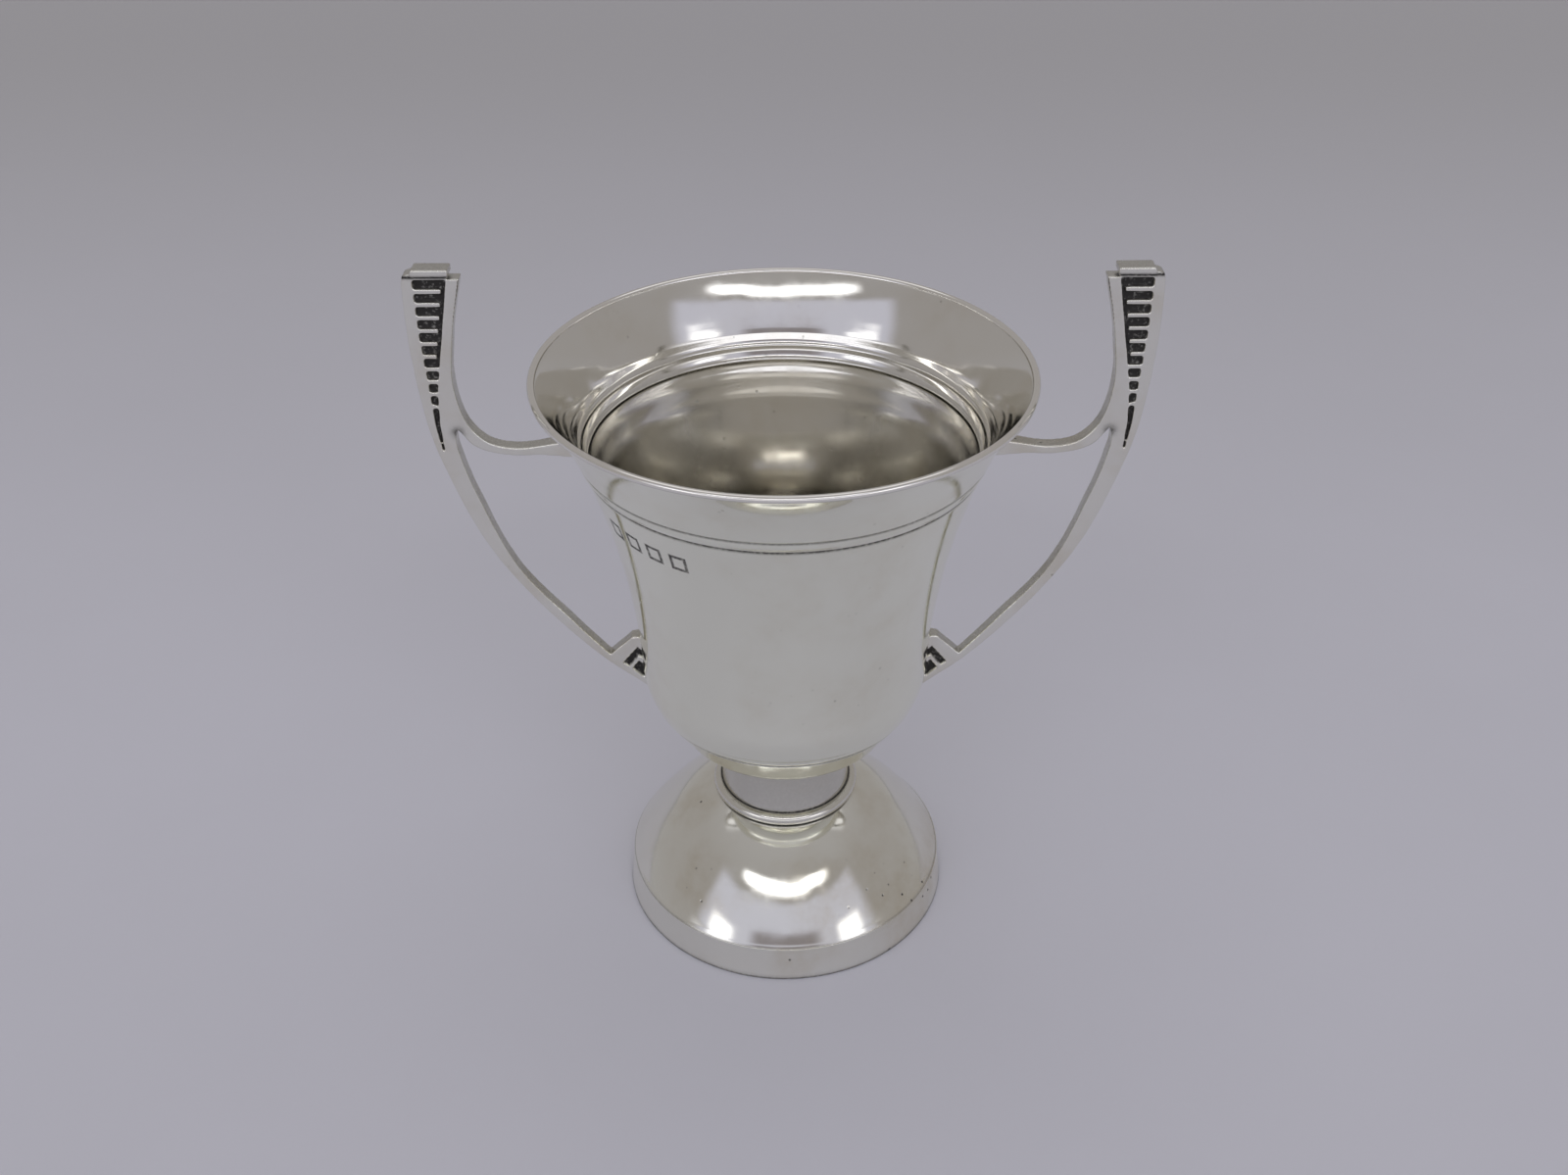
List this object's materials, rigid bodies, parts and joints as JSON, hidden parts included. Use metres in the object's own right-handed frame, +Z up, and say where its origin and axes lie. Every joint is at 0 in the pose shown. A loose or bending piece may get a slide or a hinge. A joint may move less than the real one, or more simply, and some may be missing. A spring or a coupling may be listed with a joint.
{
  "type": "cup trophy",
  "caption": "Two-handled silver cup trophy with a flared bowl on a short neck and a domed foot; the handles rise above the rim to ladder-pattern heads.",
  "frame": {"origin": "centre of the ring that the foot stands on", "axes": "+Z up along the axis of the cup, the two handles lie along +X and -X, -Y is the front"},
  "size_m": [0.0868, 0.0598, 0.0924],
  "materials": {
    "bowl_silver": "polished sterling silver, softly worn",
    "wire_silver": "polished sterling silver wire",
    "stem_silver": "polished sterling silver, dark in the corners",
    "foot_silver": "polished sterling silver, tarnished in patches",
    "cast_silver": "cast silver, polished high, blackened where sunk"
  },
  "bodies": {
    "root": {"bowl": "bowl_silver", "rim_wire": "wire_silver", "neck": "stem_silver", "bead_ring": "stem_silver", "foot_dome": "foot_silver", "foot_band": "foot_silver", "handle_right": "cast_silver", "handle_left": "cast_silver"}
  },
  "joints": []
}
